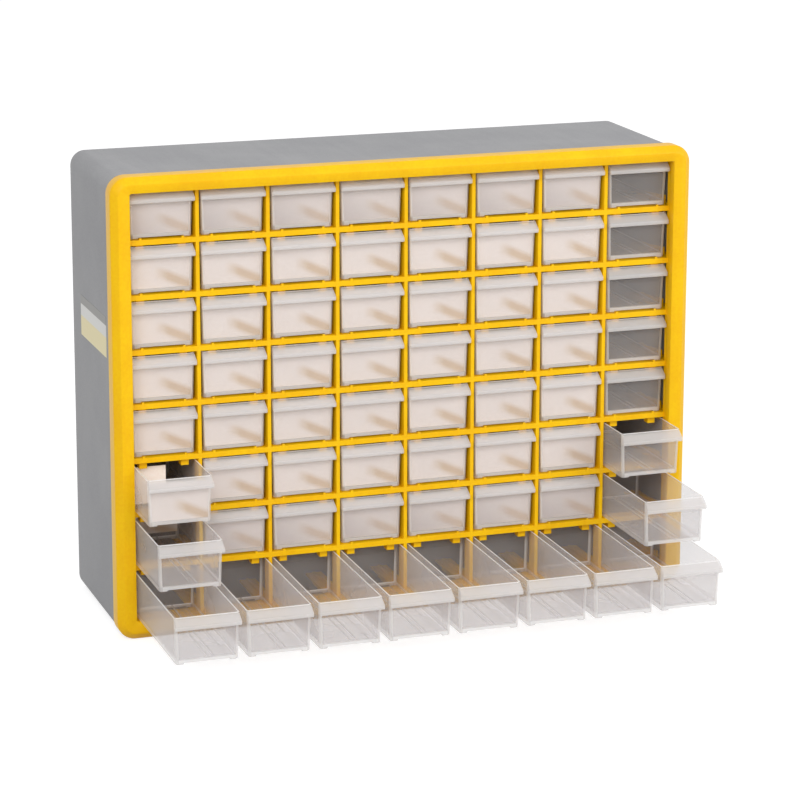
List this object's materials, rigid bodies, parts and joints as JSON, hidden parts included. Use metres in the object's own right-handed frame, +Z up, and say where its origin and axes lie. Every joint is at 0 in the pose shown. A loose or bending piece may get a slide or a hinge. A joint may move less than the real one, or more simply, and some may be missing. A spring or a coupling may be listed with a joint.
{
  "type": "parts bin cabinet",
  "caption": "Small-parts bin cabinet: a grey tub with a yellow front frame and rack that holds rows of translucent pull-out drawers, with the lowest row open.",
  "frame": {"origin": "centre of the base, on the surface that the cabinet stands on", "axes": "+X to the right along the rows, +Y from the front to the back, +Z up"},
  "size_m": [0.5, 0.2725, 0.383],
  "materials": {
    "housing": "moulded grey plastic, fine satin",
    "front": "moulded yellow plastic, semi-gloss",
    "drawer": "milky translucent moulded plastic",
    "sticker": "blank two-tone printed film"
  },
  "bodies": {
    "cabinet": {"housing_shell": "housing", "front_bezel": "front", "drawer_rack": "front", "side_sticker": "sticker"},
    "drawer_row6_col1": {"drawer_row6_col1": "drawer"},
    "drawer_row6_col8": {"drawer_row6_col8": "drawer"},
    "drawer_row7_col1": {"drawer_row7_col1": "drawer"},
    "drawer_row7_col8": {"drawer_row7_col8": "drawer"},
    "drawer_row8_col1": {"drawer_row8_col1": "drawer"},
    "drawer_row8_col2": {"drawer_row8_col2": "drawer"},
    "drawer_row8_col3": {"drawer_row8_col3": "drawer"},
    "drawer_row8_col4": {"drawer_row8_col4": "drawer"},
    "drawer_row8_col5": {"drawer_row8_col5": "drawer"},
    "drawer_row8_col6": {"drawer_row8_col6": "drawer"},
    "drawer_row8_col7": {"drawer_row8_col7": "drawer"},
    "drawer_row8_col8": {"drawer_row8_col8": "drawer"},
    "drawers_row1_col1_2": {"drawers_row1_col1_2": "drawer"},
    "drawers_row1_col3_4": {"drawers_row1_col3_4": "drawer"},
    "drawers_row1_col5_6": {"drawers_row1_col5_6": "drawer"},
    "drawers_row1_col7_8": {"drawers_row1_col7_8": "drawer"},
    "drawers_row2_col1_2": {"drawers_row2_col1_2": "drawer"},
    "drawers_row2_col3_4": {"drawers_row2_col3_4": "drawer"},
    "drawers_row2_col5_6": {"drawers_row2_col5_6": "drawer"},
    "drawers_row2_col7_8": {"drawers_row2_col7_8": "drawer"},
    "drawer_row3_col1": {"drawer_row3_col1": "drawer"},
    "drawer_row3_col2": {"drawer_row3_col2": "drawer"},
    "drawer_row3_col3": {"drawer_row3_col3": "drawer"},
    "drawer_row3_col4": {"drawer_row3_col4": "drawer"},
    "drawer_row3_col5": {"drawer_row3_col5": "drawer"},
    "drawer_row3_col6": {"drawer_row3_col6": "drawer"},
    "drawer_row3_col7": {"drawer_row3_col7": "drawer"},
    "drawer_row3_col8": {"drawer_row3_col8": "drawer"},
    "drawer_row4_col1": {"drawer_row4_col1": "drawer"},
    "drawer_row4_col2": {"drawer_row4_col2": "drawer"},
    "drawer_row4_col3": {"drawer_row4_col3": "drawer"},
    "drawer_row4_col4": {"drawer_row4_col4": "drawer"},
    "drawer_row4_col5": {"drawer_row4_col5": "drawer"},
    "drawer_row4_col6": {"drawer_row4_col6": "drawer"},
    "drawer_row4_col7": {"drawer_row4_col7": "drawer"},
    "drawer_row4_col8": {"drawer_row4_col8": "drawer"},
    "drawer_row5_col1": {"drawer_row5_col1": "drawer"},
    "drawer_row5_col2": {"drawer_row5_col2": "drawer"},
    "drawer_row5_col3": {"drawer_row5_col3": "drawer"},
    "drawer_row5_col4": {"drawer_row5_col4": "drawer"},
    "drawer_row5_col5": {"drawer_row5_col5": "drawer"},
    "drawer_row5_col6": {"drawer_row5_col6": "drawer"},
    "drawer_row5_col7": {"drawer_row5_col7": "drawer"},
    "drawer_row5_col8": {"drawer_row5_col8": "drawer"},
    "drawer_row6_col2": {"drawer_row6_col2": "drawer"},
    "drawer_row6_col3": {"drawer_row6_col3": "drawer"},
    "drawer_row6_col4": {"drawer_row6_col4": "drawer"},
    "drawer_row6_col5": {"drawer_row6_col5": "drawer"},
    "drawer_row6_col6": {"drawer_row6_col6": "drawer"},
    "drawer_row6_col7": {"drawer_row6_col7": "drawer"},
    "drawer_row7_col2": {"drawer_row7_col2": "drawer"},
    "drawer_row7_col3": {"drawer_row7_col3": "drawer"},
    "drawer_row7_col4": {"drawer_row7_col4": "drawer"},
    "drawer_row7_col5": {"drawer_row7_col5": "drawer"},
    "drawer_row7_col6": {"drawer_row7_col6": "drawer"},
    "drawer_row7_col7": {"drawer_row7_col7": "drawer"}
  },
  "joints": [
    {"name": "drawer_row6_col1_slide", "type": "slide", "parent": "cabinet", "child": "drawer_row6_col1", "axis": [0, -1, 0], "range_m": [-0.048, 0.077]},
    {"name": "drawer_row6_col8_slide", "type": "slide", "parent": "cabinet", "child": "drawer_row6_col8", "axis": [0, -1, 0], "range_m": [-0.038, 0.087]},
    {"name": "drawer_row7_col1_slide", "type": "slide", "parent": "cabinet", "child": "drawer_row7_col1", "axis": [0, -1, 0], "range_m": [-0.078, 0.047]},
    {"name": "drawer_row7_col8_slide", "type": "slide", "parent": "cabinet", "child": "drawer_row7_col8", "axis": [0, -1, 0], "range_m": [-0.09, 0.035]},
    {"name": "drawer_row8_col1_slide", "type": "slide", "parent": "cabinet", "child": "drawer_row8_col1", "axis": [0, -1, 0], "range_m": [-0.125, 0]},
    {"name": "drawer_row8_col2_slide", "type": "slide", "parent": "cabinet", "child": "drawer_row8_col2", "axis": [0, -1, 0], "range_m": [-0.125, 0]},
    {"name": "drawer_row8_col3_slide", "type": "slide", "parent": "cabinet", "child": "drawer_row8_col3", "axis": [0, -1, 0], "range_m": [-0.125, 0]},
    {"name": "drawer_row8_col4_slide", "type": "slide", "parent": "cabinet", "child": "drawer_row8_col4", "axis": [0, -1, 0], "range_m": [-0.125, 0]},
    {"name": "drawer_row8_col5_slide", "type": "slide", "parent": "cabinet", "child": "drawer_row8_col5", "axis": [0, -1, 0], "range_m": [-0.125, 0]},
    {"name": "drawer_row8_col6_slide", "type": "slide", "parent": "cabinet", "child": "drawer_row8_col6", "axis": [0, -1, 0], "range_m": [-0.125, 0]},
    {"name": "drawer_row8_col7_slide", "type": "slide", "parent": "cabinet", "child": "drawer_row8_col7", "axis": [0, -1, 0], "range_m": [-0.125, 0]},
    {"name": "drawer_row8_col8_slide", "type": "slide", "parent": "cabinet", "child": "drawer_row8_col8", "axis": [0, -1, 0], "range_m": [-0.125, 0]},
    {"name": "drawers_row1_col1_2_slide", "type": "slide", "parent": "cabinet", "child": "drawers_row1_col1_2", "axis": [0, -1, 0], "range_m": [0, 0.125]},
    {"name": "drawers_row1_col3_4_slide", "type": "slide", "parent": "cabinet", "child": "drawers_row1_col3_4", "axis": [0, -1, 0], "range_m": [0, 0.125]},
    {"name": "drawers_row1_col5_6_slide", "type": "slide", "parent": "cabinet", "child": "drawers_row1_col5_6", "axis": [0, -1, 0], "range_m": [0, 0.125]},
    {"name": "drawers_row1_col7_8_slide", "type": "slide", "parent": "cabinet", "child": "drawers_row1_col7_8", "axis": [0, -1, 0], "range_m": [0, 0.125]},
    {"name": "drawers_row2_col1_2_slide", "type": "slide", "parent": "cabinet", "child": "drawers_row2_col1_2", "axis": [0, -1, 0], "range_m": [0, 0.125]},
    {"name": "drawers_row2_col3_4_slide", "type": "slide", "parent": "cabinet", "child": "drawers_row2_col3_4", "axis": [0, -1, 0], "range_m": [0, 0.125]},
    {"name": "drawers_row2_col5_6_slide", "type": "slide", "parent": "cabinet", "child": "drawers_row2_col5_6", "axis": [0, -1, 0], "range_m": [0, 0.125]},
    {"name": "drawers_row2_col7_8_slide", "type": "slide", "parent": "cabinet", "child": "drawers_row2_col7_8", "axis": [0, -1, 0], "range_m": [0, 0.125]},
    {"name": "drawer_row3_col1_slide", "type": "slide", "parent": "cabinet", "child": "drawer_row3_col1", "axis": [0, -1, 0], "range_m": [0, 0.125]},
    {"name": "drawer_row3_col2_slide", "type": "slide", "parent": "cabinet", "child": "drawer_row3_col2", "axis": [0, -1, 0], "range_m": [0, 0.125]},
    {"name": "drawer_row3_col3_slide", "type": "slide", "parent": "cabinet", "child": "drawer_row3_col3", "axis": [0, -1, 0], "range_m": [0, 0.125]},
    {"name": "drawer_row3_col4_slide", "type": "slide", "parent": "cabinet", "child": "drawer_row3_col4", "axis": [0, -1, 0], "range_m": [0, 0.125]},
    {"name": "drawer_row3_col5_slide", "type": "slide", "parent": "cabinet", "child": "drawer_row3_col5", "axis": [0, -1, 0], "range_m": [0, 0.125]},
    {"name": "drawer_row3_col6_slide", "type": "slide", "parent": "cabinet", "child": "drawer_row3_col6", "axis": [0, -1, 0], "range_m": [0, 0.125]},
    {"name": "drawer_row3_col7_slide", "type": "slide", "parent": "cabinet", "child": "drawer_row3_col7", "axis": [0, -1, 0], "range_m": [0, 0.125]},
    {"name": "drawer_row3_col8_slide", "type": "slide", "parent": "cabinet", "child": "drawer_row3_col8", "axis": [0, -1, 0], "range_m": [0, 0.125]},
    {"name": "drawer_row4_col1_slide", "type": "slide", "parent": "cabinet", "child": "drawer_row4_col1", "axis": [0, -1, 0], "range_m": [0, 0.125]},
    {"name": "drawer_row4_col2_slide", "type": "slide", "parent": "cabinet", "child": "drawer_row4_col2", "axis": [0, -1, 0], "range_m": [0, 0.125]},
    {"name": "drawer_row4_col3_slide", "type": "slide", "parent": "cabinet", "child": "drawer_row4_col3", "axis": [0, -1, 0], "range_m": [0, 0.125]},
    {"name": "drawer_row4_col4_slide", "type": "slide", "parent": "cabinet", "child": "drawer_row4_col4", "axis": [0, -1, 0], "range_m": [0, 0.125]},
    {"name": "drawer_row4_col5_slide", "type": "slide", "parent": "cabinet", "child": "drawer_row4_col5", "axis": [0, -1, 0], "range_m": [0, 0.125]},
    {"name": "drawer_row4_col6_slide", "type": "slide", "parent": "cabinet", "child": "drawer_row4_col6", "axis": [0, -1, 0], "range_m": [0, 0.125]},
    {"name": "drawer_row4_col7_slide", "type": "slide", "parent": "cabinet", "child": "drawer_row4_col7", "axis": [0, -1, 0], "range_m": [0, 0.125]},
    {"name": "drawer_row4_col8_slide", "type": "slide", "parent": "cabinet", "child": "drawer_row4_col8", "axis": [0, -1, 0], "range_m": [0, 0.125]},
    {"name": "drawer_row5_col1_slide", "type": "slide", "parent": "cabinet", "child": "drawer_row5_col1", "axis": [0, -1, 0], "range_m": [0, 0.125]},
    {"name": "drawer_row5_col2_slide", "type": "slide", "parent": "cabinet", "child": "drawer_row5_col2", "axis": [0, -1, 0], "range_m": [0, 0.125]},
    {"name": "drawer_row5_col3_slide", "type": "slide", "parent": "cabinet", "child": "drawer_row5_col3", "axis": [0, -1, 0], "range_m": [0, 0.125]},
    {"name": "drawer_row5_col4_slide", "type": "slide", "parent": "cabinet", "child": "drawer_row5_col4", "axis": [0, -1, 0], "range_m": [0, 0.125]},
    {"name": "drawer_row5_col5_slide", "type": "slide", "parent": "cabinet", "child": "drawer_row5_col5", "axis": [0, -1, 0], "range_m": [0, 0.125]},
    {"name": "drawer_row5_col6_slide", "type": "slide", "parent": "cabinet", "child": "drawer_row5_col6", "axis": [0, -1, 0], "range_m": [0, 0.125]},
    {"name": "drawer_row5_col7_slide", "type": "slide", "parent": "cabinet", "child": "drawer_row5_col7", "axis": [0, -1, 0], "range_m": [0, 0.125]},
    {"name": "drawer_row5_col8_slide", "type": "slide", "parent": "cabinet", "child": "drawer_row5_col8", "axis": [0, -1, 0], "range_m": [0, 0.125]},
    {"name": "drawer_row6_col2_slide", "type": "slide", "parent": "cabinet", "child": "drawer_row6_col2", "axis": [0, -1, 0], "range_m": [0, 0.125]},
    {"name": "drawer_row6_col3_slide", "type": "slide", "parent": "cabinet", "child": "drawer_row6_col3", "axis": [0, -1, 0], "range_m": [0, 0.125]},
    {"name": "drawer_row6_col4_slide", "type": "slide", "parent": "cabinet", "child": "drawer_row6_col4", "axis": [0, -1, 0], "range_m": [0, 0.125]},
    {"name": "drawer_row6_col5_slide", "type": "slide", "parent": "cabinet", "child": "drawer_row6_col5", "axis": [0, -1, 0], "range_m": [0, 0.125]},
    {"name": "drawer_row6_col6_slide", "type": "slide", "parent": "cabinet", "child": "drawer_row6_col6", "axis": [0, -1, 0], "range_m": [0, 0.125]},
    {"name": "drawer_row6_col7_slide", "type": "slide", "parent": "cabinet", "child": "drawer_row6_col7", "axis": [0, -1, 0], "range_m": [0, 0.125]},
    {"name": "drawer_row7_col2_slide", "type": "slide", "parent": "cabinet", "child": "drawer_row7_col2", "axis": [0, -1, 0], "range_m": [0, 0.125]},
    {"name": "drawer_row7_col3_slide", "type": "slide", "parent": "cabinet", "child": "drawer_row7_col3", "axis": [0, -1, 0], "range_m": [0, 0.125]},
    {"name": "drawer_row7_col4_slide", "type": "slide", "parent": "cabinet", "child": "drawer_row7_col4", "axis": [0, -1, 0], "range_m": [0, 0.125]},
    {"name": "drawer_row7_col5_slide", "type": "slide", "parent": "cabinet", "child": "drawer_row7_col5", "axis": [0, -1, 0], "range_m": [0, 0.125]},
    {"name": "drawer_row7_col6_slide", "type": "slide", "parent": "cabinet", "child": "drawer_row7_col6", "axis": [0, -1, 0], "range_m": [0, 0.125]},
    {"name": "drawer_row7_col7_slide", "type": "slide", "parent": "cabinet", "child": "drawer_row7_col7", "axis": [0, -1, 0], "range_m": [0, 0.125]}
  ]
}
